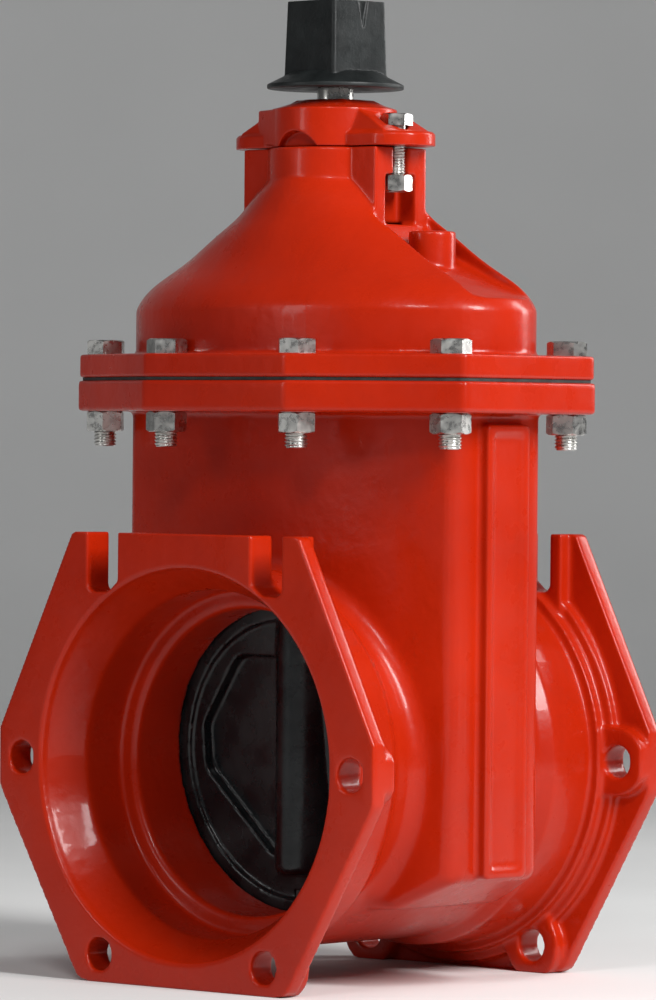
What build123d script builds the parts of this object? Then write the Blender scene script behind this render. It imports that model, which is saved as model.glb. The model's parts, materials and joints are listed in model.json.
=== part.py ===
"""Resilient-wedge gate valve, 8 inch, mechanical-joint ends, square operating nut.

Millimetres. X runs along the pipe, Z runs up the stem, and the origin is on the ground
under the stem, with the valve standing on the bottom flats of its two end flanges.
Heights are first given from the pipe axis, as h(...), because the casting is drawn from there.
"""

import os
from math import radians, sqrt, tan

from build123d import *

# Driving dimensions: mechanical-joint ends
PIPE_Z = 148.0  # pipe axis above the ground
FACE_X = 147.0  # half of the face-to-face length
SOCKET_R = 116.2
SOCKET_DEPTH = 63.5
MOUTH_R = 130.4  # gasket recess
MOUTH_LEAD = 4.0  # straight stretch of the recess, before the 28 degree gasket seat
SEAT_ANGLE = 28.0
BORE_R = 103.0
BOLT_R = 149.225  # radius of the end bolt circle
HOLE_R = 11.1
SLOT_WIDTH = 27.0
PLATE = 12.0  # flange thickness at its rim
BOSS = 21.7  # flange thickness at holes and slots
BOSS_R = 23.0
FLANGE_TOP = 153.5  # from the pipe axis
SIDE_Y = BOLT_R * 0.5
SIDE_Z = BOLT_R * sqrt(3) / 2

# Driving dimensions: body housing and its cavity
BELL_R = 131.0
NECK_R = 125.0
HOUSING_Y, HOUSING_MID, HOUSING_END = 150.0, 68.0, 44.0  # half sizes of the barrel-shaped plan
HOUSING_LOW = -95.0
SADDLE = 14.0  # fillet where the necks meet the housing
RINGS = ((27, 138), (19, 145))  # stepped rings behind the end flange: length from face, radius
WALL = 11.0
PAD_X, PAD_Y, PAD_FRAME, PAD_SUNK = 21.25, 158.0, 6.0, 2.0
PAD_LOW, PAD_HIGH = -73.0, 228.0
GROOVE_X, GROOVE_Y, GROOVE_LOW = 17.8, 148.0, -60.6
RING_R = 117.0  # outside of the seat rings
CHAMBER_R = 115.5  # round bottom of the cavity
SEAT_HALF, TAPER = 38.0, 5.0  # half gap between the seats on the pipe axis, and their slope

# Driving dimensions: joint between body and bonnet
FLANGE_LOW, SEAM, GASKET, BONNET_TOP = 235.0, 256.0, 2.0, 274.0
OCT_A, OCT_B = (67.1, 176.9), (119.9, 63.6)  # corners of the octagon, mirrored four ways
BOLT_SPOTS = [(59.3, 157.1), (101.6, 59.2)]  # bolts, mirrored four ways
BOLT_SHANK_R, BOLT_HOLE_R = 7.9, 8.7
BOLT_FLATS, HEAD_HIGH, NUT_HIGH, THREAD_PROUD = 23.8, 9.9, 13.9, 10.0

# Driving dimensions: bonnet
DOME = [  # height, half length along X, half width along Y
    (304, 94, 162),
    (312, 91, 157),
    (321, 85, 147),
    (332, 76, 128),
    (343, 69, 110),
    (357, 62, 89),
    (368, 56, 72),
    (378, 52, 61),
    (386, 49, 52),
    (394, 44.8, 44),
]
DOME_WALL = 10.0
INNER = [  # the same for the hollow inside; narrower across, to leave a wall under the recess
    (297, 84, 152),
    (305, 81, 140),
    (314, 75, 122),
    (325, 66, 100),
    (336, 59, 82),
    (350, 52, 62),
    (363, 44, 50),
]
NECK_X, NECK_Y, NECK_ROUND, NECK_TOP = 26.0, 60.0, 45.0, 414.0
RECESS_X = 28.0  # half width of the sunk slope below each pocket
RECESS = [(60, 362), (72, 345), (100, 333), (125, 322), (152, 312)]  # its floor: across, height
EAR_Y = 55.5  # seal plate bolts, each side of the stem
POCKET_X, POCKET_LOW, POCKET_HIGH = 15.0, 362.0, 395.5
LUG_R, LUG_Y, LUG_TOP = 15.8, 88.3, 357.0

# Driving dimensions: stem and its bearing
PITCH = 25.4 / 3
THREAD_ROOT_R, THREAD_R = 11.4, 14.0
JOURNAL_R, STEM_BORE_R = 14.6, 15.0
TOP_JOURNAL_R, TOP_BORE_R = 12.4, 12.8  # above the collar
STEM_LOW, THREAD_TOP = 104.0, 360.0
COLLAR_R, COLLAR_HIGH, WASHER_HIGH = 22.0, 12.0, 3.0
WELL_R, WELL_FLOOR = 24.5, 386.0
STEM_SQUARE, SQUARE_LOW, SQUARE_HIGH = 17.5, 455.0, 486.0
RUN = 0.3  # gap between bodies that move past each other

# Driving dimensions: wedge
WEDGE_R = 112.6
RUBBER = 5.0
BEAD_IN, BAND, PANEL_DEEP = 95.0, 3.5, 8.0  # sealing bead, shallow band inside it, sunk panel
PANEL = [(50, 70), (84, 22), (84, -8), (26, -66)]  # half outline of the panel: across, height
HOLLOW_R = 97.0  # hollows in the faces of the iron core
BULGE_Y, BULGE_LOW, BULGE_HIGH = 26.0, -77.0, 104.0
LUG_X, LUG_REACH, LUG_LOW, LUG_HIGH = 13.5, 143.5, -59.0, 11.0
CAP = 3.5  # wall of the plastic caps over the lugs
HUB_X, HUB_Y, HUB_TOP = 34.0, 34.0, 140.0
TUNNEL_R = 17.0
NUT_X, NUT_Y, NUT_LOW, NUT_TOP = 21.0, 24.0, 106.0, 136.0

# Driving dimensions: seal plate and operating nut
PLATE_LOW, EAR_TOP, TIER_TOP, BOSS_TOP = 414.6, 428.6, 441.0, 447.0
EAR_R, EAR_EDGE, TIER_R, BOSS_TOP_R = 26.3, 424.5, 42.0, 22.0
WEB_HALF, WEB_LEAN = 25.0, 18.0  # ribs that fall from the boss to the ears, narrower at the crest
WEB = [(21, 447), (50, 434), (66, 424.5)]  # their crest: across, height
SHOULDER = (-16.0, 45.0, 8.0)  # raised corner of the tier above the left ear: x, y, radius
ARCH_R, ARCH_DROP, ARCH_IN = 19.0, 8.8, 34.0  # low hollows in the seal plate's lower edge
SEAL_BOLT_LOW, SPOT_R = 384.5, 13.2
SPIGOT_R = 24.2
SEAL_FLATS, SEAL_SHANK_R, SEAL_HOLE_R = 19.05, 6.3, 7.2
SKIRT_LOW, SKIRT_HIGH, SKIRT_R = 454.5, 464.0, 46.5
SQUARE_BASE, SQUARE_TIP, OPNUT_TOP = 50.8, 47.8, 514.0
OPNUT_TURN = -5.0  # the square stands a little off the valve's own axes
NOTCH_WIDE, NOTCH_LONG, NOTCH_DEEP, NOTCH_MID = 9.0, 21.0, 1.2, 3.0  # V in one of its faces

os.makedirs("parts", exist_ok=True)


def h(height):
    """World height of a level that is given from the pipe axis."""
    return PIPE_Z + height


def seat_gap(height):
    """Half gap between the two seats at a height from the pipe axis."""
    return SEAT_HALF + height * tan(radians(TAPER))


def four_ways(x, y):
    """The point and its three mirror images."""
    return [(sx * x, sy * y) for sx in (-1, 1) for sy in (-1, 1)]


def octagon(inset=0.0):
    """Outline of the flange between body and bonnet."""
    (ax, ay), (bx, by) = OCT_A, OCT_B
    corners = [(ax, ay), (bx, by), (bx, -by), (ax, -ay)]
    corners += [(-x, -y) for x, y in corners]
    with BuildSketch(mode=Mode.PRIVATE) as outline:
        with BuildLine():
            Polyline(*corners, close=True)
        make_face()
        if inset:
            offset(amount=-inset, kind=Kind.INTERSECTION)
        fillet(outline.vertices(), 6)
    return outline.sketch


def barrel(mid_x, end_x, half_y, corner):
    """Plan of the housing: two long arcs joined by straight ends."""
    with BuildSketch(mode=Mode.PRIVATE) as plan:
        with BuildLine():
            ThreePointArc((-end_x, -half_y), (-mid_x, 0), (-end_x, half_y))
            Line((-end_x, half_y), (end_x, half_y))
            ThreePointArc((end_x, half_y), (mid_x, 0), (end_x, -half_y))
            Line((end_x, -half_y), (-end_x, -half_y))
        make_face()
        fillet(plan.vertices(), corner)
    return plan.sketch


def end_flange_outline():
    """Six-sided end flange with blunt side corners, seen along the pipe."""
    right = [(103, FLANGE_TOP), (170, 20), (170, -20), (94, -PIPE_Z)]
    left = [(-y, z) for y, z in reversed(right)]
    with BuildSketch(mode=Mode.PRIVATE) as outline:
        with BuildLine():
            Polyline(*right, *left, close=True)
        make_face()
        fillet(outline.vertices().filter_by_position(Axis.Y, -PIPE_Z, -20), 14)
        fillet(outline.vertices().sort_by(Axis.Y)[-2:], 3)
    return outline.sketch


def end_flange_bosses():
    """Thick places of the end flange: round bosses at the holes, straight ones at the slots."""
    with BuildSketch(mode=Mode.PRIVATE) as bosses:
        for turn in (0, 180, -60, -120):
            with Locations(Rotation(0, 0, turn)):
                with Locations((BOLT_R, 0)):
                    Circle(BOSS_R)
                with Locations((BOLT_R - 20, 0)):
                    Rectangle(40, 2 * BOSS_R)
        for y in (-SIDE_Y, SIDE_Y):
            with Locations((y, 125)):
                Rectangle(SLOT_WIDTH + 20, 60)
        add(end_flange_outline(), mode=Mode.INTERSECT)
    return bosses.sketch


def hexagon(flats):
    """Radius of the circle round a hexagon with this size across its flats."""
    return flats / sqrt(3)


def bonnet_spots():
    """Places of the eight bolts between body and bonnet, with a turn for each hexagon."""
    spots = [point for spot in BOLT_SPOTS for point in four_ways(*spot)]
    return [Location((x, y, 0), (0, 0, 13.0 + 23 * i)) for i, (x, y) in enumerate(spots)]


def seal_spots():
    """Places of the two bolts through the ears of the seal plate."""
    return [Location((0, -EAR_Y, 0), (0, 0, 12)), Location((0, EAR_Y, 0), (0, 0, 35))]


def hex_bolt_head(flats, bottom, high):
    """Hex head with its top corners turned off, standing on a level."""
    with BuildPart(mode=Mode.PRIVATE) as head:
        with BuildSketch(Plane.XY.offset(bottom)):
            RegularPolygon(hexagon(flats), 6)
        extrude(amount=high)
        with Locations((0, 0, bottom + high / 2 - 0.01)):
            Cone(hexagon(flats) + high * 1.6, flats / 2 * 0.96, high + 0.02, mode=Mode.INTERSECT)
    return head.part


def hex_nut(flats, bottom, high, hole_r):
    """Hex nut with both ends chamfered."""
    with BuildPart(mode=Mode.PRIVATE) as nut:
        with BuildSketch(Plane.XY.offset(bottom)):
            RegularPolygon(hexagon(flats), 6)
        extrude(amount=high)
        for tip, flip in ((bottom, 180), (bottom + high, 0)):
            with Locations(Location((0, 0, tip), (flip, 0, 0))):
                Cone(
                    hexagon(flats) + high * 1.6,
                    flats / 2 * 0.96,
                    high,
                    align=(Align.CENTER, Align.CENTER, Align.MAX),
                    mode=Mode.INTERSECT,
                )
        with Locations((0, 0, bottom + high / 2)):
            Cylinder(hole_r, high + 1, mode=Mode.SUBTRACT)
    return nut.part


def thread_ridge(root_r, depth, low, high, thick, tip):
    """Left-hand helical ridge on a root circle, for the stem and for the nut's thread."""
    with BuildPart(mode=Mode.PRIVATE) as ridge:
        with BuildLine() as path:
            Helix(PITCH, high - low, root_r, center=(0, 0, low), lefthand=True)
        start = path.line @ 0
        with BuildSketch(Plane(origin=start, x_dir=(1, 0, 0), z_dir=path.line % 0)):
            with BuildLine():
                Polyline(
                    (-0.4, -thick / 2), (depth, -tip / 2), (depth, tip / 2), (-0.4, thick / 2),
                    close=True,
                )
            make_face()
        sweep(path=path.line, is_frenet=True)
    return ridge.part


# Body
with BuildPart() as body:
    # housing: barrel-shaped plan with a rounded lower end
    with BuildSketch(Plane.XY.offset(h(HOUSING_LOW))):
        add(barrel(HOUSING_MID, HOUSING_END, HOUSING_Y, 14))
    extrude(amount=FLANGE_LOW - HOUSING_LOW + 5)
    with BuildSketch(Plane.YZ) as side:
        with BuildLine():
            Polyline(
                (-HOUSING_Y - 1, h(PAD_LOW)), (-105, h(HOUSING_LOW)), (105, h(HOUSING_LOW)),
                (HOUSING_Y + 1, h(PAD_LOW)), (HOUSING_Y + 1, h(250)), (-HOUSING_Y - 1, h(250)),
                close=True,
            )
        make_face()
        fillet(side.vertices().group_by(Axis.Y)[0], 25)
    extrude(amount=HOUSING_MID + 5, both=True, mode=Mode.INTERSECT)
    low_rim = [
        e for e in body.edges() if (e @ 0.5).Z < h(-60) and abs((e @ 0).X - (e @ 1).X) <= 60
    ]
    fillet(low_rim, 9)

    # necks of the waterway, blended into the housing, then the wider bells
    with Locations(Location((0, 0, PIPE_Z), (0, 90, 0))):
        Cylinder(NECK_R, 2 * (FACE_X - RINGS[0][0]))
    joint = [
        e for e in body.edges()
        if 40 < abs((e @ 0.5).X) < 75
        and abs(((e @ 0.5).Y ** 2 + ((e @ 0.5).Z - PIPE_Z) ** 2) ** 0.5 - NECK_R) < 0.2
    ]
    fillet(joint, SADDLE)
    with BuildSketch(Plane.XZ):
        for end in (-1, 1):
            with BuildLine():
                Polyline(
                    (end * 73, h(0)), (end * 73, h(NECK_R)), (end * 82.5, h(BELL_R)),
                    (end * (FACE_X - RINGS[0][0]), h(BELL_R)), (end * (FACE_X - RINGS[0][0]), h(0)),
                    close=True,
                )
            make_face()
    revolve(axis=Axis((0, 0, PIPE_Z), (1, 0, 0)))

    # stepped rings, thin six-sided plate and its bosses at each end
    for end in (-1, 1):
        inward = -end
        for start, r in RINGS:
            with BuildSketch(Plane.YZ.offset(end * (FACE_X - start))):
                with Locations((0, PIPE_Z)):
                    Circle(r)
            extrude(amount=end * start)
        with BuildSketch(Plane.YZ.offset(end * FACE_X)):
            with Locations((0, PIPE_Z)):
                add(end_flange_outline())
        extrude(amount=inward * PLATE)
        with BuildSketch(Plane.YZ.offset(end * FACE_X)):
            with Locations((0, PIPE_Z)):
                add(end_flange_bosses())
        extrude(amount=inward * BOSS)

    # flange for the bonnet, and the pads outside the guide channels
    with BuildSketch(Plane.XY.offset(h(FLANGE_LOW))):
        add(octagon())
    extrude(amount=SEAM - FLANGE_LOW)
    for side in (-1, 1):
        with BuildSketch(Plane.XZ.offset(-side * (HOUSING_Y - 10))):
            with Locations((0, h((PAD_LOW + PAD_HIGH) / 2))):
                RectangleRounded(2 * PAD_X, PAD_HIGH - PAD_LOW, 3)
        extrude(amount=-side * (PAD_Y - HOUSING_Y + 10))
        with BuildSketch(Plane.XZ.offset(-side * PAD_Y)):
            with Locations((0, h((PAD_LOW + PAD_HIGH) / 2))):
                RectangleRounded(
                    2 * (PAD_X - PAD_FRAME), PAD_HIGH - PAD_LOW - 2 * PAD_FRAME, 4
                )
        extrude(amount=side * PAD_SUNK, mode=Mode.SUBTRACT)

    # cavity of the housing, then the seat rings that stand in it
    with BuildSketch(Plane.XY.offset(h(-40))):
        add(barrel(HOUSING_MID - WALL, HOUSING_END - WALL + 2, HOUSING_Y - WALL - 3, 8))
    extrude(amount=40 + SEAM + 1, mode=Mode.SUBTRACT)
    with BuildSketch(Plane.YZ.offset(-FACE_X + SOCKET_DEPTH)):
        with Locations((0, PIPE_Z)):
            Circle(RING_R)
    extrude(amount=2 * (FACE_X - SOCKET_DEPTH))

    # waterway: gasket seats, sockets and bore
    with BuildSketch(Plane.XZ):
        cone_in = FACE_X - MOUTH_LEAD - (MOUTH_R - SOCKET_R) / tan(radians(SEAT_ANGLE))
        shoulder = FACE_X - SOCKET_DEPTH
        with BuildLine():
            steps = [
                (FACE_X + 1, MOUTH_R + 2.6), (FACE_X - 1.6, MOUTH_R), (FACE_X - MOUTH_LEAD, MOUTH_R),
                (cone_in, SOCKET_R), (shoulder, SOCKET_R), (shoulder, BORE_R + 3),
                (shoulder - 3, BORE_R),
            ]
            points = [(x, h(r)) for x, r in steps]
            points += [(-x, z) for x, z in reversed(points)]
            Polyline(*points)
            Polyline(points[-1], (-FACE_X - 1, h(0)), (FACE_X + 1, h(0)), points[0])
        make_face()
    revolve(axis=Axis((0, 0, PIPE_Z), (1, 0, 0)), mode=Mode.SUBTRACT)

    # tapered room for the wedge, straight above the level where the taper would thin the wall
    with BuildPart(mode=Mode.PRIVATE) as room:
        with BuildSketch(Plane.YZ.offset(-90)):
            with Locations((0, PIPE_Z)):
                Circle(CHAMBER_R)
            with Locations((0, h(140))):
                Rectangle(2 * CHAMBER_R, 280)
        extrude(amount=180)
        low, bend, top = -CHAMBER_R - 2, 62, SEAM + 5
        with BuildSketch(Plane.XZ):
            with BuildLine():
                Polyline(
                    (-seat_gap(low), h(low)), (seat_gap(low), h(low)), (seat_gap(bend), h(bend)),
                    (seat_gap(bend), h(top)), (-seat_gap(bend), h(top)), (-seat_gap(bend), h(bend)),
                    close=True,
                )
            make_face()
        extrude(amount=200, both=True, mode=Mode.INTERSECT)
    add(room.part, mode=Mode.SUBTRACT)
    with BuildSketch(Plane.XZ):
        with BuildLine():
            reach = BORE_R + 22
            Polyline(
                (-seat_gap(bend), h(bend)), (seat_gap(bend), h(bend)), (seat_gap(reach), h(reach)),
                (-seat_gap(reach), h(reach)), close=True,
            )
        make_face()
    extrude(amount=CHAMBER_R, both=True, mode=Mode.SUBTRACT)
    with BuildSketch(Plane.XY.offset(h(GROOVE_LOW))):
        Rectangle(2 * GROOVE_X, 2 * GROOVE_Y)
        Rectangle(2 * GROOVE_X, 190, mode=Mode.SUBTRACT)
    extrude(amount=SEAM - GROOVE_LOW + 1, mode=Mode.SUBTRACT)

    # holes and open slots of the end flanges, and the bonnet bolts' holes
    for end in (-1, 1):
        face = Plane.YZ.offset(end * FACE_X)
        with BuildSketch(face):
            with Locations((0, PIPE_Z)):
                for y, z in ((-BOLT_R, 0), (BOLT_R, 0), (-SIDE_Y, -SIDE_Z), (SIDE_Y, -SIDE_Z)):
                    with Locations((y, z)):
                        Circle(HOLE_R)
            for sy in (-1, 1):
                inner, outer = SIDE_Y - SLOT_WIDTH / 2, SIDE_Y + SLOT_WIDTH / 2
                with BuildLine():
                    Polyline(
                        (sy * inner, h(160)), (sy * inner, h(120.5)), (sy * (inner + 8), h(114.5)),
                        (sy * (outer - 4), h(113.5)), (sy * outer, h(117)), (sy * outer, h(160)),
                        close=True,
                    )
                make_face()
        extrude(amount=-end * (BOSS + 8), mode=Mode.SUBTRACT)
    with BuildSketch(Plane.XY.offset(h(SEAM))):
        for spot in BOLT_SPOTS:
            with Locations(*four_ways(*spot)):
                Circle(BOLT_HOLE_R)
    extrude(amount=FLANGE_LOW - SEAM, mode=Mode.SUBTRACT)

# Bonnet: dome lofted through ovals, neck with open pockets for the seal plate's bolts
with BuildPart() as bonnet:
    with BuildSketch(Plane.XY.offset(h(SEAM + GASKET))):
        Ellipse(DOME[0][1], DOME[0][2])
    extrude(amount=DOME[0][0] - SEAM - GASKET)
    for z, a, b in DOME:
        with BuildSketch(Plane.XY.offset(h(z))):
            Ellipse(a, b)
    loft()
    for side in (-1, 1):  # sunk slopes between two ridges
        with BuildSketch(Plane.YZ):
            with BuildLine():
                floor = [(side * y, h(z)) for y, z in RECESS]
                Polyline(*floor, (side * 175, h(312)), (side * 175, h(430)),
                         (side * RECESS[0][0], h(430)), close=True)
            make_face()
        extrude(amount=RECESS_X, both=True, mode=Mode.SUBTRACT)
    with BuildSketch(Plane.XY.offset(h(SEAM + GASKET))):
        add(octagon(0.8))
    extrude(amount=BONNET_TOP - SEAM - GASKET)
    with BuildSketch(Plane.XY.offset(h(345))):
        Circle(NECK_ROUND)
        Rectangle(2 * NECK_X, 2 * NECK_Y)
    extrude(amount=NECK_TOP - 345)
    for side in (-1, 1):
        with Locations((0, side * LUG_Y, h(LUG_TOP - 17))):
            Cylinder(LUG_R, 34)

    # inside: dome, then the bearing well and the stem's bore
    with BuildSketch(Plane.XY.offset(h(SEAM + GASKET - 1))):
        Ellipse(INNER[0][1], INNER[0][2])
    extrude(amount=INNER[0][0] - SEAM - GASKET + 1, mode=Mode.SUBTRACT)
    for z, a, b in INNER:
        with BuildSketch(Plane.XY.offset(h(z))):
            Ellipse(a, b)
    loft(mode=Mode.SUBTRACT)
    with Locations((0, 0, h(NECK_TOP))):
        Cylinder(WELL_R, 2 * (NECK_TOP - WELL_FLOOR), mode=Mode.SUBTRACT)
    with Locations((0, 0, h(WELL_FLOOR))):
        Cylinder(STEM_BORE_R, 100, mode=Mode.SUBTRACT)
    with Locations((0, 0, h(375))):
        Cylinder(18.2, 4, mode=Mode.SUBTRACT)
    with Locations((0, 0, h(NECK_TOP))):
        Cylinder(34, 4, mode=Mode.SUBTRACT)
    for side in (-1, 1):
        with BuildSketch(Plane.XY.offset(h(POCKET_LOW))):
            with Locations((0, side * (NECK_Y - 1))):
                Rectangle(2 * POCKET_X, 30)
        extrude(amount=POCKET_HIGH - POCKET_LOW, mode=Mode.SUBTRACT)
        with BuildSketch(Plane.XY.offset(h(POCKET_LOW))):
            with Locations((0, side * EAR_Y)):
                Circle(SEAL_HOLE_R)
            with Locations((0, side * (EAR_Y + 10))):
                Rectangle(2 * SEAL_HOLE_R, 20)
        extrude(amount=NECK_TOP - POCKET_LOW + 1, mode=Mode.SUBTRACT)
    with BuildSketch(Plane.XY.offset(h(SEAM))):
        for spot in BOLT_SPOTS:
            with Locations(*four_ways(*spot)):
                Circle(BOLT_HOLE_R)
    extrude(amount=BONNET_TOP - SEAM + 1, mode=Mode.SUBTRACT)

with BuildPart() as bonnet_gasket:
    with BuildSketch(Plane.XY.offset(h(SEAM))):
        add(octagon(2.5))
        Ellipse(DOME[0][1] - DOME_WALL, DOME[0][2] - DOME_WALL, mode=Mode.SUBTRACT)
        for spot in BOLT_SPOTS:
            with Locations(*four_ways(*spot)):
                Circle(BOLT_HOLE_R, mode=Mode.SUBTRACT)
    extrude(amount=GASKET)

# Bonnet bolts and nuts
bolt_end = FLANGE_LOW - NUT_HIGH - THREAD_PROUD
with BuildPart(mode=Mode.PRIVATE) as bolt:
    add(hex_bolt_head(BOLT_FLATS, h(BONNET_TOP), HEAD_HIGH))
    with Locations((0, 0, h((BONNET_TOP + bolt_end) / 2))):
        Cylinder(BOLT_SHANK_R, BONNET_TOP - bolt_end)
    chamfer(bolt.edges().filter_by(GeomType.CIRCLE).sort_by(Axis.Z)[0], 1.4)
with BuildPart() as bonnet_bolts:
    with Locations(*bonnet_spots()):
        add(bolt.part)
with BuildPart() as bonnet_nuts:
    with Locations(*bonnet_spots()):
        add(hex_nut(BOLT_FLATS, h(FLANGE_LOW - NUT_HIGH), NUT_HIGH, BOLT_SHANK_R + 0.02))

# Stem: left-hand thread, thrust collar, journals and the square under the operating nut
collar_low = WELL_FLOOR + WASHER_HIGH + RUN
collar_top = collar_low + COLLAR_HIGH
with BuildPart() as stem:
    with Locations((0, 0, h((STEM_LOW + THREAD_TOP) / 2))):
        Cylinder(THREAD_ROOT_R, THREAD_TOP - STEM_LOW)
    add(thread_ridge(THREAD_ROOT_R, THREAD_R - THREAD_ROOT_R,
                     h(STEM_LOW + 3), h(THREAD_TOP - 3), 4.2, 2.2))
    with Locations((0, 0, h((THREAD_TOP + collar_low) / 2))):
        Cylinder(JOURNAL_R, collar_low - THREAD_TOP)
    with Locations((0, 0, h((collar_top + SQUARE_LOW) / 2))):
        Cylinder(TOP_JOURNAL_R, SQUARE_LOW - collar_top)
    with Locations((0, 0, h((collar_low + collar_top) / 2))):
        Cylinder(COLLAR_R, COLLAR_HIGH)
    with Locations(Location((0, 0, h((SQUARE_LOW + SQUARE_HIGH) / 2)), (0, 0, OPNUT_TURN))):
        Box(STEM_SQUARE, STEM_SQUARE, SQUARE_HIGH - SQUARE_LOW)
    with Locations((0, 0, h(SQUARE_HIGH))):
        Cylinder(5.2, 44, mode=Mode.SUBTRACT)

# Operating nut: tapered square on a flared skirt, with a recess for its cap screw
with BuildPart() as operating_nut:
    with Locations((0, 0, h(SKIRT_LOW + 1.5))):
        Cylinder(SKIRT_R, 3)
    with Locations((0, 0, h((SKIRT_LOW + 3 + SKIRT_HIGH + 2) / 2))):
        Cone(SKIRT_R, SQUARE_BASE / 2 + 4, SKIRT_HIGH - SKIRT_LOW - 1)
    for level, size in ((SKIRT_LOW + 2, SQUARE_BASE), (OPNUT_TOP, SQUARE_TIP)):
        with BuildSketch(Plane.XY.offset(h(level))):
            RectangleRounded(size, size, 2.4, rotation=OPNUT_TURN)
    loft()
    with BuildPart(mode=Mode.PRIVATE) as notch:
        with BuildSketch(Plane.XZ.offset(SQUARE_TIP / 2 - NOTCH_DEEP)):
            with BuildLine():
                Polyline(
                    (NOTCH_MID - NOTCH_WIDE / 2, h(OPNUT_TOP + 1)),
                    (NOTCH_MID + NOTCH_WIDE / 2, h(OPNUT_TOP + 1)),
                    (NOTCH_MID, h(OPNUT_TOP - NOTCH_LONG)),
                    close=True,
                )
            make_face()
        extrude(amount=6)
    add(notch.part.rotate(Axis.Z, OPNUT_TURN), mode=Mode.SUBTRACT)
    with Locations((0, 0, h(OPNUT_TOP))):
        Cylinder(13.5, 24, mode=Mode.SUBTRACT)
    with Locations((0, 0, h(490))):
        Cylinder(6.6, 60, mode=Mode.SUBTRACT)
    with Locations((0, 0, h(SKIRT_LOW))):
        Cone(SKIRT_R - 4, STEM_SQUARE * 0.75, 8, mode=Mode.SUBTRACT)
    with Locations(Location((0, 0, h((SKIRT_LOW + SQUARE_HIGH) / 2)), (0, 0, OPNUT_TURN))):
        Box(STEM_SQUARE + 0.1, STEM_SQUARE + 0.1, SQUARE_HIGH - SKIRT_LOW + 0.4, mode=Mode.SUBTRACT)
recess = OPNUT_TOP - 12
with BuildPart() as nut_washer:
    with Locations((0, 0, h(recess + 1.25))):
        Cylinder(12.6, 2.5)
        Cylinder(6.6, 2.5, mode=Mode.SUBTRACT)
with BuildPart() as nut_screw:
    with Locations((0, 0, h(recess + 2.5 + 4))):
        Cylinder(9, 8)
    chamfer(nut_screw.edges().sort_by(Axis.Z)[-1], 0.8)
    with Locations((0, 0, h(recess - 14))):
        Cylinder(5.15, 34)
    with BuildSketch(Plane.XY.offset(h(recess + 10.5))):
        RegularPolygon(5.8, 6)
    extrude(amount=-5, mode=Mode.SUBTRACT)

# Bearing: washers above and below the collar, and the stem's seals
with BuildPart() as thrust_washer_lower:
    with Locations((0, 0, h(WELL_FLOOR + WASHER_HIGH / 2))):
        Cylinder(WELL_R - 0.3, WASHER_HIGH)
        Cylinder(JOURNAL_R + 0.5, WASHER_HIGH, mode=Mode.SUBTRACT)
washer_low = collar_top + RUN
with BuildPart() as thrust_washer_upper:
    with Locations((0, 0, h(washer_low + WASHER_HIGH / 2))):
        Cylinder(WELL_R - 0.3, WASHER_HIGH)
        Cylinder(TOP_JOURNAL_R + 0.5, WASHER_HIGH, mode=Mode.SUBTRACT)


def seal_ring(level, outer_r, inner_r, high):
    """Rubber ring of square section with rounded edges, lying round the stem."""
    with BuildPart(mode=Mode.PRIVATE) as ring:
        with BuildSketch(Plane.XZ):
            with Locations(((outer_r + inner_r) / 2, h(level))):
                RectangleRounded(outer_r - inner_r, high, high * 0.3)
        revolve(axis=Axis.Z)
    return ring.part


LIFT = 0.08  # the rings stand this far off the stem
with BuildPart() as lower_stem_o_ring:
    add(seal_ring(375, 18.1, JOURNAL_R + LIFT, 3.4))
with BuildPart() as stem_o_rings:
    for level in (411.5, 421.5):
        add(seal_ring(level, 15.9, TOP_JOURNAL_R + LIFT, 3.4))
with BuildPart() as dust_seal:
    add(seal_ring(BOSS_TOP - 3.0, 16.6, TOP_JOURNAL_R + LIFT, 4.0))
with BuildPart() as seal_plate_gasket:
    with Locations((0, 0, h((NECK_TOP - 2 + PLATE_LOW) / 2))):
        Cylinder(33.6, PLATE_LOW - NECK_TOP + 2)
        Cylinder(WELL_R + 1.5, PLATE_LOW - NECK_TOP + 2, mode=Mode.SUBTRACT)

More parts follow.
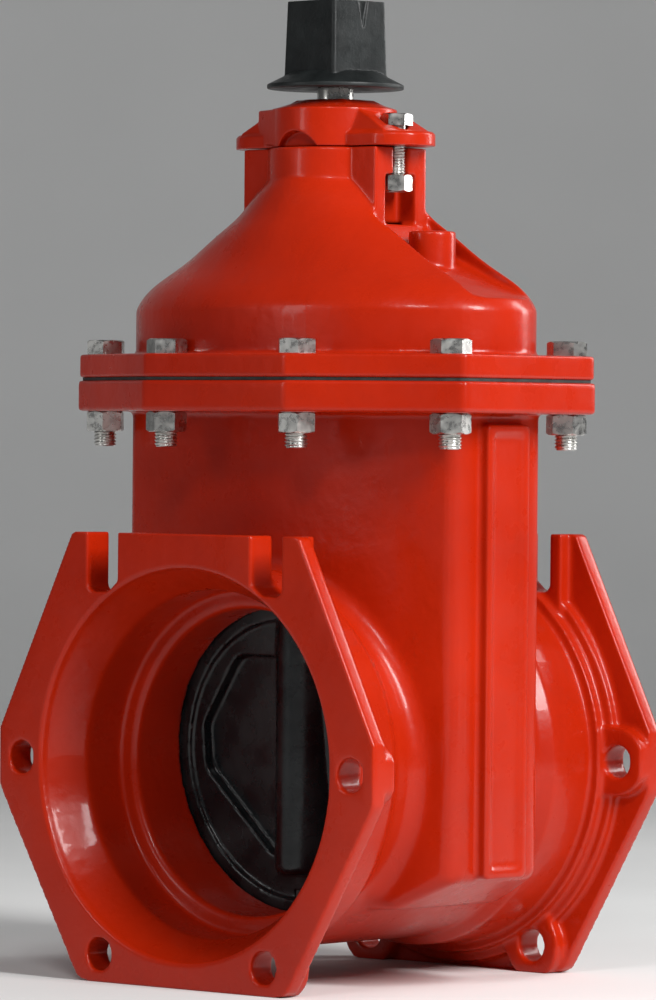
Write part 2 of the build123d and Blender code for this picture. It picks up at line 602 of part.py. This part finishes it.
# Seal plate: round tier with two thin ears, ribs that fall to them, and a boss round the stem
with BuildPart() as seal_plate:
    with BuildSketch(Plane.XY.offset(h(PLATE_LOW))):
        Circle(TIER_R)
        with Locations((0, -EAR_Y), (0, EAR_Y)):
            Circle(EAR_R)
        Rectangle(2 * EAR_R, 2 * EAR_Y)
    extrude(amount=EAR_EDGE - PLATE_LOW)
    chamfer(seal_plate.edges().group_by(Axis.Z)[-1], 2)
    with BuildPart(mode=Mode.PRIVATE) as ribs:
        with BuildSketch(Plane.XY.offset(h(EAR_EDGE - 4))):
            Rectangle(2 * WEB_HALF, 2 * WEB[-1][0])
        extrude(amount=BOSS_TOP - EAR_EDGE + 4, taper=WEB_LEAN)
        with BuildSketch(Plane.YZ):
            with BuildLine():
                crest = [(y, h(z)) for y, z in WEB]
                Polyline(*crest, (WEB[-1][0], h(PLATE_LOW)), (-WEB[-1][0], h(PLATE_LOW)),
                         *[(-y, z) for y, z in reversed(crest)], close=True)
            make_face()
        extrude(amount=60, both=True, mode=Mode.INTERSECT)
    add(ribs.part)
    with Locations((0, 0, h((PLATE_LOW + TIER_TOP) / 2))):
        Cylinder(TIER_R, TIER_TOP - PLATE_LOW)
    with Locations((0, 0, h((TIER_TOP + BOSS_TOP) / 2))):
        Cone(TIER_R - 1, BOSS_TOP_R, BOSS_TOP - TIER_TOP)
    with BuildSketch(Plane.XY.offset(h(PLATE_LOW + 2))):
        with BuildSketch(mode=Mode.PRIVATE) as shoulder:
            Circle(TIER_R - 0.5)
            with Locations(SHOULDER[:2]):
                Circle(SHOULDER[2])
        add(make_hull(shoulder.sketch.edges()))
    extrude(amount=TIER_TOP - PLATE_LOW - 2.5)
    with Locations((0, -EAR_Y, h(EAR_TOP + 10)), (0, EAR_Y, h(EAR_TOP + 10))):
        Cylinder(SPOT_R, 20, mode=Mode.SUBTRACT)
    spigot_low = washer_low + WASHER_HIGH
    with Locations((0, 0, h((spigot_low + PLATE_LOW) / 2))):
        Cylinder(SPIGOT_R, PLATE_LOW - spigot_low)
    with Locations((0, 0, h(BOSS_TOP - 20))):
        Cylinder(TOP_BORE_R, 80, mode=Mode.SUBTRACT)
    with Locations((0, 0, h(411.5)), (0, 0, h(421.5))):
        Cylinder(16.0, 4, mode=Mode.SUBTRACT)
    with Locations((0, 0, h(BOSS_TOP - 2.4))):
        Cylinder(16.7, 5.4, mode=Mode.SUBTRACT)
    with Locations((0, -EAR_Y, h(EAR_TOP)), (0, EAR_Y, h(EAR_TOP))):
        Cylinder(SEAL_HOLE_R, 60, mode=Mode.SUBTRACT)
    for side in (-1, 1):
        with Locations(Location((side * (ARCH_IN + 10), 0, h(PLATE_LOW - ARCH_DROP)), (0, 90, 0))):
            Cylinder(ARCH_R, 20, mode=Mode.SUBTRACT)

with BuildPart(mode=Mode.PRIVATE) as seal_bolt:
    add(hex_bolt_head(SEAL_FLATS, h(EAR_TOP), 8))
    with Locations((0, 0, h((EAR_TOP + SEAL_BOLT_LOW) / 2))):
        Cylinder(SEAL_SHANK_R, EAR_TOP - SEAL_BOLT_LOW)
    chamfer(seal_bolt.edges().filter_by(GeomType.CIRCLE).sort_by(Axis.Z)[0], 1.2)
with BuildPart() as seal_plate_bolts:
    with Locations(*seal_spots()):
        add(seal_bolt.part)
with BuildPart() as seal_plate_nuts:
    with Locations(*seal_spots()):
        add(hex_nut(SEAL_FLATS, h(POCKET_HIGH - 11.5), 11.5, SEAL_SHANK_R + 0.02))


def wedge_blank(radius, thin, hub_x, hub_y, hub_top):
    """Round tapered disc with a hub on top, smaller than the seat gap by thin on each side."""
    with BuildPart(mode=Mode.PRIVATE) as blank:
        with BuildSketch(Plane.YZ.offset(-90)):
            with Locations((0, PIPE_Z)):
                Circle(radius)
        extrude(amount=180)
        with BuildSketch(Plane.XZ):
            with BuildLine():
                low, top = -radius - 2, radius + 2
                Polyline(
                    (-seat_gap(low) + thin, h(low)), (seat_gap(low) - thin, h(low)),
                    (seat_gap(top) - thin, h(top)), (-seat_gap(top) + thin, h(top)), close=True,
                )
            make_face()
        extrude(amount=200, both=True, mode=Mode.INTERSECT)
        with Locations((0, 0, h((60 + hub_top) / 2))):
            Box(2 * hub_x, 2 * hub_y, hub_top - 60)
    return blank.part


# Wedge: iron core, then the rubber moulded over it, then nut and caps
with BuildPart() as wedge_core:
    add(wedge_blank(WEDGE_R - RUBBER, RUBBER + RUN, HUB_X - RUBBER, HUB_Y - RUBBER, HUB_TOP))
    for side in (-1, 1):  # hollow each face, leaving the tunnel's wall in the middle
        with BuildSketch(Plane.YZ.offset(side * 16)):
            with Locations((0, PIPE_Z)):
                Circle(HOLLOW_R)
        extrude(amount=side * 40, mode=Mode.SUBTRACT)
    with Locations((0, 0, h(-0.5))):
        Cylinder(26, 2 * (WEDGE_R - RUBBER - 5))
    with Locations((0, 0, h((LUG_LOW + LUG_HIGH) / 2))):
        Box(2 * LUG_X, 2 * LUG_REACH, LUG_HIGH - LUG_LOW)
    Cylinder(TUNNEL_R, 2 * h(300), mode=Mode.SUBTRACT)
    with Locations((0, 0, h((NUT_LOW + NUT_TOP) / 2))):
        Box(2 * NUT_X + 0.6, 4 * NUT_Y, NUT_TOP - NUT_LOW + 0.6, mode=Mode.SUBTRACT)

with BuildPart() as wedge_rubber:
    add(wedge_blank(WEDGE_R, RUN, HUB_X, HUB_Y, HUB_TOP - 40))
    chamfer(wedge_rubber.edges().filter_by(GeomType.ELLIPSE), 3)
    with Locations(Location((0, 0, PIPE_Z), (0, 90, 0))):
        Cylinder(BEAD_IN, 180, mode=Mode.SUBTRACT)
    add(wedge_blank(BEAD_IN + 1, RUN + BAND, HUB_X, HUB_Y, HUB_TOP - 40))
    with BuildSketch(Plane.YZ.offset(-90)) as panel:
        with BuildLine():
            right = [(y, h(z)) for y, z in PANEL]
            Polyline(*right, *[(-y, z) for y, z in reversed(right)], close=True)
        make_face()
        fillet(panel.vertices(), 16)
    extrude(amount=180, mode=Mode.SUBTRACT)
    add(wedge_blank(BEAD_IN - 2, RUN + BAND + PANEL_DEEP, HUB_X - 3, HUB_Y, HUB_TOP - 40))
    with BuildPart(mode=Mode.PRIVATE) as bulge:
        with BuildSketch(Plane.XY.offset(h(BULGE_LOW))):
            Ellipse(seat_gap(100) - 0.6, BULGE_Y)
        extrude(amount=BULGE_HIGH - BULGE_LOW)
        fillet(bulge.edges().sort_by(Axis.Z)[0], 5)
    add(bulge.part)
    add(wedge_core.part, mode=Mode.SUBTRACT)
    with BuildSketch(Plane.XY.offset(h(-130))):
        Circle(TUNNEL_R)
    extrude(amount=400, mode=Mode.SUBTRACT)
    with Locations((0, 0, h((LUG_LOW + LUG_HIGH) / 2))):
        Box(2 * LUG_X, 2 * LUG_REACH, LUG_HIGH - LUG_LOW, mode=Mode.SUBTRACT)
    with Locations((0, 0, h((NUT_LOW + NUT_TOP) / 2))):
        Box(2 * NUT_X + 0.6, 4 * NUT_Y, NUT_TOP - NUT_LOW + 0.6, mode=Mode.SUBTRACT)

with BuildPart() as stem_nut:
    with Locations((0, 0, h((NUT_LOW + NUT_TOP) / 2))):
        Box(2 * NUT_X, 2 * NUT_Y, NUT_TOP - NUT_LOW)
    chamfer(stem_nut.edges().filter_by(Axis.Z), 3)
    with Locations((0, 0, h((NUT_LOW + NUT_TOP) / 2))):
        Cylinder(THREAD_ROOT_R + 0.4, NUT_TOP - NUT_LOW + 1, mode=Mode.SUBTRACT)
    add(thread_ridge(THREAD_ROOT_R, THREAD_R - THREAD_ROOT_R + 0.5,
                     h(STEM_LOW + 3 - PITCH), h(STEM_LOW + 3 + 5 * PITCH), 5.2, 3.2),
        mode=Mode.SUBTRACT)


def guide_cap(side):
    """Plastic cap that slides over one guide lug of the wedge."""
    inner_y, outer_y = 118.0, LUG_REACH + CAP
    with BuildPart(mode=Mode.PRIVATE) as cap:
        with Locations((0, side * (inner_y + outer_y) / 2, h((LUG_LOW + LUG_HIGH) / 2))):
            Box(2 * (LUG_X + CAP), outer_y - inner_y, LUG_HIGH - LUG_LOW)
        with Locations((0, 0, h((LUG_LOW + LUG_HIGH) / 2))):
            Box(2 * LUG_X, 2 * LUG_REACH, LUG_HIGH - LUG_LOW, mode=Mode.SUBTRACT)
    return cap.part


with BuildPart() as guide_cap_left:
    add(guide_cap(1))
with BuildPart() as guide_cap_right:
    add(guide_cap(-1))

nodes = {
    "body": body, "bonnet": bonnet, "bonnet_gasket": bonnet_gasket,
    "bonnet_bolts": bonnet_bolts, "bonnet_nuts": bonnet_nuts,
    "stem": stem, "operating_nut": operating_nut, "nut_washer": nut_washer,
    "nut_screw": nut_screw, "stem_nut": stem_nut,
    "wedge_core": wedge_core, "wedge_rubber": wedge_rubber,
    "guide_cap_left": guide_cap_left, "guide_cap_right": guide_cap_right,
    "thrust_washer_lower": thrust_washer_lower, "thrust_washer_upper": thrust_washer_upper,
    "lower_stem_o_ring": lower_stem_o_ring, "stem_o_rings": stem_o_rings,
    "dust_seal": dust_seal, "seal_plate_gasket": seal_plate_gasket, "seal_plate": seal_plate,
    "seal_plate_bolts": seal_plate_bolts, "seal_plate_nuts": seal_plate_nuts,
}
for name, node in nodes.items():
    node.part.label = name
    export_step(node.part, f"parts/{name}.step")
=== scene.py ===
"""Resilient-wedge gate valve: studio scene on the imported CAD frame. Metres, same frame as the CAD."""

import json
import math

import bmesh
import bpy
from mathutils import Matrix, Vector

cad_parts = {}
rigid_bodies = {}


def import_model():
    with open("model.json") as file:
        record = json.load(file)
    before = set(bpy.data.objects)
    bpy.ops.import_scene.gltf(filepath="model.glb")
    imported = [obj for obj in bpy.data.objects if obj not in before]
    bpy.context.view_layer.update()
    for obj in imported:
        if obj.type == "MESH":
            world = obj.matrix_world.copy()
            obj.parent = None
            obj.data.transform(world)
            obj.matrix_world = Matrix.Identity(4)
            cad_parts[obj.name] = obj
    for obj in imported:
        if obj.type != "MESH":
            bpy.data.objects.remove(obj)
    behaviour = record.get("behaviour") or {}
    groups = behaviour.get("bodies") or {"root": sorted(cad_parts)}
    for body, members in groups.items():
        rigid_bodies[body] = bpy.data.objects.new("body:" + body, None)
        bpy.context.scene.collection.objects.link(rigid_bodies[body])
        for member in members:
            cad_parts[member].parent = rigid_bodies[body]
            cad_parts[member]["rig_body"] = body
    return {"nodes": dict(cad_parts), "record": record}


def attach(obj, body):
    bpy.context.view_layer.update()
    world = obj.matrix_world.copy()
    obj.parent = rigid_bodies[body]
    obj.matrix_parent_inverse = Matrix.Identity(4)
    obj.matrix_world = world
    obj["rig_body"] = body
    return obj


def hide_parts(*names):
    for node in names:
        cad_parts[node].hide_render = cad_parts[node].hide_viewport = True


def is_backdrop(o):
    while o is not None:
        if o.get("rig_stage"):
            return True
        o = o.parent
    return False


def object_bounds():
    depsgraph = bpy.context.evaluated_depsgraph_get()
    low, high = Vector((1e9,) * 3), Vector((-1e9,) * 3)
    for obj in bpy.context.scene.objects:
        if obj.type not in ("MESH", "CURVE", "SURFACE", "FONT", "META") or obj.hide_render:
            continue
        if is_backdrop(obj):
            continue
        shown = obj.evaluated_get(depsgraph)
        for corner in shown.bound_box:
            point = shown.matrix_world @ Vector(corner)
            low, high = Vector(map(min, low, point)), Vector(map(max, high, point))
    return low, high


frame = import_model()
cad_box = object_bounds()
nodes = frame["nodes"]
MM = 0.001

# Camera: where it aims, how far back it stands, and its turn, height and roll in degrees
AIM = Vector((-0.0017, 0.0019, 0.3238))
DISTANCE, AZIMUTH, ELEVATION, ROLL = 4.207, -48.06, 0.6, 0.51
LENS = 222.9  # for a 36 mm sensor along the tall side

# Castings: voxel size, smoothing rounds and face budget
CASTINGS = {
    "body": (1.5, 7, 190000),
    "bonnet": (1.3, 7, 150000),
    "seal_plate": (0.7, 6, 60000),
    "operating_nut": (0.6, 4, 60000),
    "wedge_rubber": (1.2, 5, 110000),
}

# Threaded ends of the bolts: pitch, root and crest radius, threaded length and head height
BOLTS = {
    "bonnet_bolts": (25.4 / 11, 6.75, 7.88, 14.0, 9.9),
    "seal_plate_bolts": (25.4 / 13, 5.30, 6.28, 31.0, 8.0),
}
AROUND = 30  # facets round a bolt
LEVELS = 8  # rings of vertices to each turn of a bolt's thread
BOLT_APART = 30 * MM  # vertices nearer to each other than this, seen from above, are one bolt's
SLACK = 0.1 * MM  # how far off a level a vertex may be and still count as on it

# Stage: floor profile in metres, and the point that the lights look at
FLOOR_FRONT, FLOOR_RUN, FLOOR_RISE, WALL_TOP, FLOOR_SIDE = -6.0, 3.2, 1.6, 7.0, 7.0
FLOOR_STEPS = 12
LIGHT_AIM = Vector((0, 0, 0.33))


# ---------------------------------------------------------------- materials


class Surface:
    """A Principled material with short helpers for the nodes that feed it."""

    def __init__(self, name, color, rough, metallic=0.0, **sockets):
        self.mat = bpy.data.materials.new(name)
        self.mat.use_nodes = True
        self.tree = self.mat.node_tree
        self.shader = self.tree.nodes["Principled BSDF"]
        self.mat.diffuse_color = (*color, 1.0)
        self.shader.inputs["Base Color"].default_value = (*color, 1.0)
        self.shader.inputs["Roughness"].default_value = rough
        self.shader.inputs["Metallic"].default_value = metallic
        for key, value in sockets.items():
            self.shader.inputs[key.replace("_", " ")].default_value = value
        self.place = self.tree.nodes.new("ShaderNodeTexCoord")
        self.normal = None

    def noise(self, scale, detail=4.0, rough=0.55, stretch=(1, 1, 1)):
        """Noise fixed to the object, at a scale in features per metre."""
        mapping = self.tree.nodes.new("ShaderNodeMapping")
        mapping.inputs["Scale"].default_value = stretch
        self.tree.links.new(self.place.outputs["Object"], mapping.inputs["Vector"])
        tex = self.tree.nodes.new("ShaderNodeTexNoise")
        tex.inputs["Scale"].default_value = scale
        tex.inputs["Detail"].default_value = detail
        tex.inputs["Roughness"].default_value = rough
        self.tree.links.new(mapping.outputs["Vector"], tex.inputs["Vector"])
        return tex.outputs["Fac"]

    def ramp(self, value, *stops):
        """Colour ramp with stops of (position, colour or grey)."""
        node = self.tree.nodes.new("ShaderNodeValToRGB")
        self.tree.links.new(value, node.inputs["Fac"])
        points = node.color_ramp.elements
        while len(points) < len(stops):
            points.new(0.5)
        for point, (at, color) in zip(points, stops):
            point.position = at
            point.color = (*color, 1.0) if isinstance(color, tuple) else (color,) * 3 + (1.0,)
        return node.outputs["Color"]

    def color(self, output):
        self.tree.links.new(output, self.shader.inputs["Base Color"])
        return self

    def roughness(self, output):
        self.tree.links.new(output, self.shader.inputs["Roughness"])
        return self

    def bump(self, value, depth, strength=1.0):
        """Adds one more layer of relief, depth in metres."""
        node = self.tree.nodes.new("ShaderNodeBump")
        node.inputs["Distance"].default_value = depth
        node.inputs["Strength"].default_value = strength
        self.tree.links.new(value, node.inputs["Height"])
        if self.normal:
            self.tree.links.new(self.normal, node.inputs["Normal"])
        self.normal = node.outputs["Normal"]
        self.tree.links.new(self.normal, self.shader.inputs["Normal"])
        return self


def red_epoxy():
    """Fusion-bonded epoxy over a sand casting: glossy, slightly wavy, with orange peel."""
    s = Surface("red_epoxy", (0.42, 0.0155, 0.0016), 0.30, Coat_Weight=0.15,
                Coat_Roughness=0.05, Specular_IOR_Level=0.20)
    s.color(s.ramp(s.noise(9, 5), (0.30, (0.37, 0.0125, 0.0012)), (0.72, (0.47, 0.0185, 0.002))))
    s.roughness(s.ramp(s.noise(38, 6), (0.30, 0.24), (0.75, 0.38)))
    s.bump(s.noise(26, 3), 0.0022, 0.45)
    s.bump(s.noise(160, 5, 0.6), 0.00035, 0.55)
    s.bump(s.noise(900, 2), 0.00006, 0.35)
    return s.mat


def black_rubber():
    """Moulded rubber, glossy with faint flow marks and dust."""
    s = Surface("black_rubber", (0.012, 0.014, 0.015), 0.22, Specular_IOR_Level=0.4)
    s.color(s.ramp(s.noise(30, 6), (0.40, (0.004, 0.005, 0.006)), (0.75, (0.014, 0.017, 0.018))))
    s.roughness(s.ramp(s.noise(60, 5), (0.30, 0.18), (0.75, 0.38)))
    s.bump(s.noise(45, 4), 0.0008, 0.4)
    s.bump(s.noise(500, 3), 0.00008, 0.4)
    return s.mat


def gasket_rubber():
    s = Surface("gasket_rubber", (0.018, 0.018, 0.018), 0.7)
    s.color(s.ramp(s.noise(120, 4), (0.35, (0.012, 0.012, 0.012)), (0.7, (0.035, 0.034, 0.032))))
    s.bump(s.noise(700, 3), 0.00012, 0.5)
    return s.mat


def black_iron():
    """Cast iron with black paint: fine sand texture, a little grey in random patches."""
    s = Surface("black_iron", (0.006, 0.0075, 0.0075), 0.42, Coat_Weight=0.05, Coat_Roughness=0.3,
                Specular_IOR_Level=0.35)
    s.color(s.ramp(s.noise(55, 7), (0.35, (0.0035, 0.0045, 0.0045)), (0.8, (0.014, 0.017, 0.017))))
    s.roughness(s.ramp(s.noise(90, 5), (0.30, 0.34), (0.75, 0.58)))
    s.bump(s.noise(70, 3), 0.0008, 0.35)
    s.bump(s.noise(420, 6, 0.65), 0.00025, 0.7)
    return s.mat


def core_iron():
    s = Surface("core_iron", (0.10, 0.10, 0.10), 0.6, 0.3)
    s.color(s.ramp(s.noise(60, 6), (0.3, (0.06, 0.06, 0.06)), (0.75, (0.14, 0.135, 0.13))))
    s.bump(s.noise(350, 5), 0.0003, 0.6)
    return s.mat


def steel(name, color, rough, lathe):
    """Bright metal with faint stains; lathe marks run round the axis where lathe is above 1."""
    s = Surface(name, color, rough, 1.0)
    dark = tuple(c * 0.72 for c in color)
    s.color(s.ramp(s.noise(140, 6), (0.32, dark), (0.62, color)))
    s.roughness(s.ramp(s.noise(220, 5), (0.30, rough * 0.75), (0.75, min(rough * 1.7, 0.7))))
    s.bump(s.noise(600, 3, stretch=(1, 1, lathe)), 0.00005, 0.5)
    return s.mat


def bronze():
    s = Surface("bronze", (0.60, 0.36, 0.14), 0.33, 1.0)
    s.color(s.ramp(s.noise(90, 6), (0.3, (0.42, 0.24, 0.09)), (0.7, (0.68, 0.43, 0.18))))
    s.bump(s.noise(500, 3, stretch=(1, 1, 6)), 0.00005, 0.5)
    return s.mat


def polymer():
    s = Surface("polymer", (0.70, 0.67, 0.58), 0.45, Subsurface_Weight=0.05)
    s.color(s.ramp(s.noise(50, 4), (0.3, (0.66, 0.63, 0.54)), (0.7, (0.74, 0.71, 0.63))))
    s.bump(s.noise(400, 3), 0.00006, 0.4)
    return s.mat


def pale_floor():
    s = Surface("pale_floor", (0.80, 0.80, 0.79), 0.75)
    s.color(s.ramp(s.noise(2, 3), (0.35, (0.78, 0.78, 0.77)), (0.7, (0.82, 0.82, 0.81))))
    return s.mat


MATERIALS = {
    "red_epoxy": red_epoxy(),
    "black_rubber": black_rubber(),
    "gasket_rubber": gasket_rubber(),
    "black_iron": black_iron(),
    "core_iron": core_iron(),
    "stainless": steel("stainless", (0.66, 0.65, 0.62), 0.26, 1),
    "stem_steel": steel("stem_steel", (0.60, 0.59, 0.56), 0.24, 14),
    "bronze": bronze(),
    "polymer": polymer(),
}
slot_of = {part["node"]: part["material_slot"] for part in frame["record"]["subparts"]}


def paint(obj, slot):
    obj.data.materials.clear()
    obj.data.materials.append(MATERIALS[slot])


for name, obj in nodes.items():
    paint(obj, slot_of[name])


# ---------------------------------------------------------------- castings


def apply_modifiers(obj):
    """Replaces the object's mesh with the result of its modifiers."""
    depsgraph = bpy.context.evaluated_depsgraph_get()
    mesh = bpy.data.meshes.new_from_object(obj.evaluated_get(depsgraph))
    old = obj.data
    obj.modifiers.clear()
    obj.data = mesh
    bpy.data.meshes.remove(old)


def add_piece(name, mesh, node):
    """A new piece that stands for a CAD node and moves with the node's body."""
    obj = bpy.data.objects.new(name, mesh)
    bpy.context.scene.collection.objects.link(obj)
    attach(obj, nodes[node]["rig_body"])
    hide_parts(node)
    paint(obj, slot_of[node])
    return obj


def casting(node, voxel, rounds, faces):
    """The node's shape with its edges and corners run together as in a sand mould."""
    obj = add_piece(node + "_cast", nodes[node].data.copy(), node)
    weld = obj.modifiers.new("weld", "WELD")
    weld.merge_threshold = 1e-5
    remesh = obj.modifiers.new("remesh", "REMESH")
    remesh.mode = "VOXEL"
    remesh.voxel_size = voxel * MM
    remesh.use_smooth_shade = True
    smooth = obj.modifiers.new("smooth", "SMOOTH")
    smooth.factor = 0.5
    smooth.iterations = rounds
    apply_modifiers(obj)
    count = len(obj.data.polygons) * 2
    if count > faces:
        thin = obj.modifiers.new("thin", "DECIMATE")
        thin.ratio = faces / count
        apply_modifiers(obj)
    obj.data.shade_smooth()
    paint(obj, slot_of[node])


for node, (voxel, rounds, faces) in CASTINGS.items():
    casting(node, voxel, rounds, faces)


# ---------------------------------------------------------------- bolts


def bolt_axes(mesh):
    """Centre, lowest and highest level of each bolt in a node, found from the CAD mesh."""
    groups = []
    for vert in mesh.vertices:
        for group in groups:
            if (vert.co.xy - group[0].xy).length < BOLT_APART:
                group.append(vert.co.copy())
                break
        else:
            groups.append([vert.co.copy()])
    axes = []
    for group in groups:
        low, high = min(p.z for p in group), max(p.z for p in group)
        ring = [p for p in group if p.z < low + SLACK]
        x = (min(p.x for p in ring) + max(p.x for p in ring)) / 2
        y = (min(p.y for p in ring) + max(p.y for p in ring)) / 2
        axes.append((x, y, low, high))
    return axes


def add_shank(bm, x, y, low, top, pitch, root, crest, threaded):
    """Round bar with a helical thread at its lower end and a small chamfer."""
    levels, z = [], low
    while z < low + threaded:
        levels.append(z)
        z += pitch / LEVELS
    levels += [low + threaded + pitch, top]
    rows = []
    for z in levels:
        row = []
        for i in range(AROUND):
            turn = i / AROUND
            wave = ((z - low) / pitch - turn) % 1.0
            r = root + (crest - root) * (1 - abs(2 * wave - 1)) if z < low + threaded else crest
            r = min(r, root - 0.2 * MM + (z - low))
            a = 2 * math.pi * turn
            row.append(bm.verts.new((x + r * math.cos(a), y + r * math.sin(a), z)))
        rows.append(row)
    for lower, upper in zip(rows, rows[1:]):
        for i in range(AROUND):
            j = (i + 1) % AROUND
            face = bm.faces.new((lower[i], lower[j], upper[j], upper[i]))
            face.smooth = True
    bm.faces.new(list(reversed(rows[0])))


def threaded_bolts(node, pitch, root, crest, threaded, head):
    """The node's CAD heads on shanks with a modelled thread, for looks only."""
    source = nodes[node].data
    axes = bolt_axes(source)
    bm = bmesh.new()
    bm.from_mesh(source)
    under = min(high for _, _, _, high in axes) - head * MM
    shank = [f for f in bm.faces if f.calc_center_median().z < under - SLACK / 2]
    bmesh.ops.delete(bm, geom=shank, context="FACES")
    for x, y, low, high in axes:
        add_shank(bm, x, y, low, high - head * MM + SLACK,
                  pitch * MM, root * MM, crest * MM, threaded * MM)
    mesh = bpy.data.meshes.new(node + "_threaded")
    bm.to_mesh(mesh)
    bm.free()
    add_piece(node + "_threaded", mesh, node)


for node, sizes in BOLTS.items():
    threaded_bolts(node, *sizes)


# ---------------------------------------------------------------- stage


def floor_and_wall():
    """Pale floor that curves up into a wall far behind."""
    mesh = bpy.data.meshes.new("floor")
    bm = bmesh.new()
    profile = [(FLOOR_FRONT, 0.0)]
    for i in range(FLOOR_STEPS + 1):
        a = math.radians(90 * i / FLOOR_STEPS)
        profile.append((FLOOR_RUN + FLOOR_RISE * math.sin(a), FLOOR_RISE - FLOOR_RISE * math.cos(a)))
    profile.append((FLOOR_RUN + FLOOR_RISE, WALL_TOP))
    rows = []
    for along, up in profile:
        rows.append([bm.verts.new((along, side, up)) for side in (-FLOOR_SIDE, FLOOR_SIDE)])
    for a, b in zip(rows, rows[1:]):
        bm.faces.new((a[0], b[0], b[1], a[1]))
    for face in bm.faces:
        face.smooth = True
    bm.to_mesh(mesh)
    bm.free()
    obj = bpy.data.objects.new("floor", mesh)
    bpy.context.scene.collection.objects.link(obj)
    obj.rotation_euler = (0, 0, math.radians(AZIMUTH + 90))
    obj.data.materials.append(pale_floor())
    obj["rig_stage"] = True


def area_light(name, place, size, watts):
    """White soft box that looks at the middle of the valve."""
    data = bpy.data.lights.new(name, "AREA")
    data.shape = "RECTANGLE"
    data.size, data.size_y = size
    data.energy = watts
    obj = bpy.data.objects.new(name, data)
    bpy.context.scene.collection.objects.link(obj)
    obj.location = place
    aim = LIGHT_AIM - Vector(place)
    obj.rotation_euler = aim.to_track_quat("-Z", "Y").to_euler()


def around(azimuth, distance, height):
    """A point at a height, a distance and an azimuth; 0 is the -Y side and 90 the +X side."""
    a = math.radians(azimuth)
    return (distance * math.sin(a), -distance * math.cos(a), height)


def camera():
    """Camera at the photograph's angle, from the values at the top."""
    a, e, r = (math.radians(v) for v in (AZIMUTH, ELEVATION, ROLL))
    back = Vector((math.sin(a) * math.cos(e), -math.cos(a) * math.cos(e), math.sin(e)))
    right = Vector((math.cos(a), math.sin(a), 0.0))
    up = back.cross(right)
    right, up = (
        right * math.cos(r) + up * math.sin(r),
        up * math.cos(r) - right * math.sin(r),
    )
    data = bpy.data.cameras.new("camera")
    data.sensor_fit = "VERTICAL"
    data.sensor_height = 36.0
    data.lens = LENS
    data.clip_end = 50.0
    obj = bpy.data.objects.new("camera", data)
    bpy.context.scene.collection.objects.link(obj)
    turn = Matrix((right, up, back)).transposed()
    obj.matrix_world = Matrix.Translation(AIM + back * DISTANCE) @ turn.to_4x4()
    bpy.context.scene.camera = obj


floor_and_wall()
area_light("key", around(-6, 2.3, 1.8), (0.6, 1.2), 88)
area_light("fill", around(-112, 2.6, 1.1), (0.4, 1.2), 8)
area_light("front", around(-58, 2.8, 2.4), (0.8, 0.5), 26)
area_light("rim", around(70, 2.2, 1.2), (0.5, 1.4), 24)
world = bpy.data.worlds.new("studio")
bpy.context.scene.world = world
world.use_nodes = True
backdrop = world.node_tree.nodes["Background"]
backdrop.inputs["Color"].default_value = (0.92, 0.95, 1.0, 1.0)
backdrop.inputs["Strength"].default_value = 0.10
bpy.context.scene.view_settings.view_transform = "Standard"
camera()

sizes = {"cad": [list(v) for v in cad_box], "visual": [list(v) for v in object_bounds()]}
